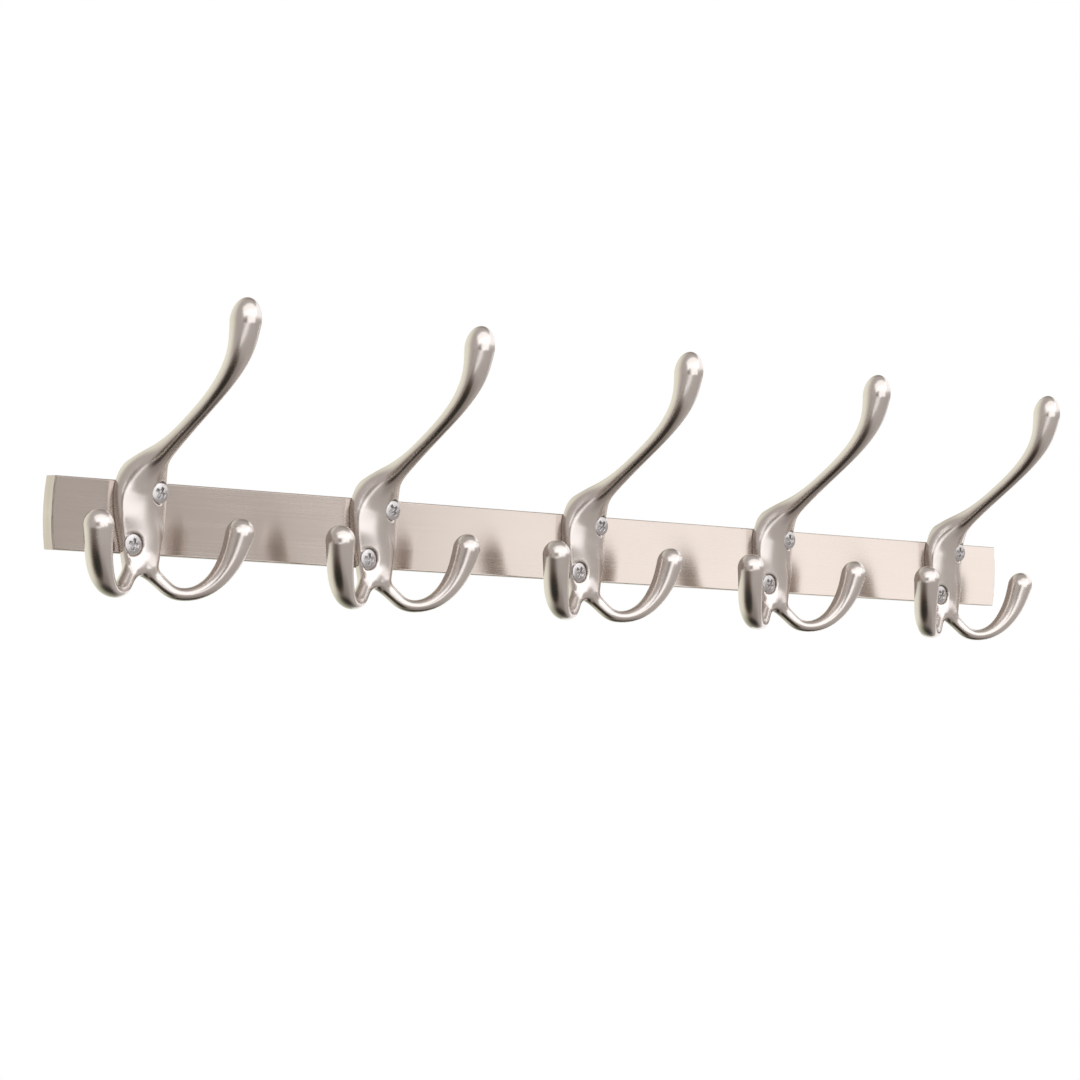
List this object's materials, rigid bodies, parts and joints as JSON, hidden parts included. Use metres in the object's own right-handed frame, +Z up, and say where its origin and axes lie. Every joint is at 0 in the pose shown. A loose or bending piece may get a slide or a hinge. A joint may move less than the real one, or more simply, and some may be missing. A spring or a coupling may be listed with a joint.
{
  "type": "wall hook rack",
  "caption": "Flat satin metal rail with a row of triple coat hooks; each has a long upper prong and two lower arms with rounded knobs, and is held by two screws.",
  "frame": {"origin": "centre of the rail's flat back face, which lies on the wall", "axes": "+X along the rail, +Y into the wall, +Z up; the hooks reach out towards -Y"},
  "size_m": [0.5844, 0.0752, 0.1171],
  "materials": {
    "rail_metal": "satin nickel, brushed lengthwise",
    "hook_metal": "satin nickel over a smooth casting",
    "screw_metal": "bright nickel plate"
  },
  "bodies": {
    "root": {"rail": "rail_metal", "hook_1": "hook_metal", "hook_1_upper_screw": "screw_metal", "hook_1_lower_screw": "screw_metal", "hook_2": "hook_metal", "hook_2_upper_screw": "screw_metal", "hook_2_lower_screw": "screw_metal", "hook_3": "hook_metal", "hook_3_upper_screw": "screw_metal", "hook_3_lower_screw": "screw_metal", "hook_4": "hook_metal", "hook_4_upper_screw": "screw_metal", "hook_4_lower_screw": "screw_metal", "hook_5": "hook_metal", "hook_5_upper_screw": "screw_metal", "hook_5_lower_screw": "screw_metal"}
  },
  "joints": []
}
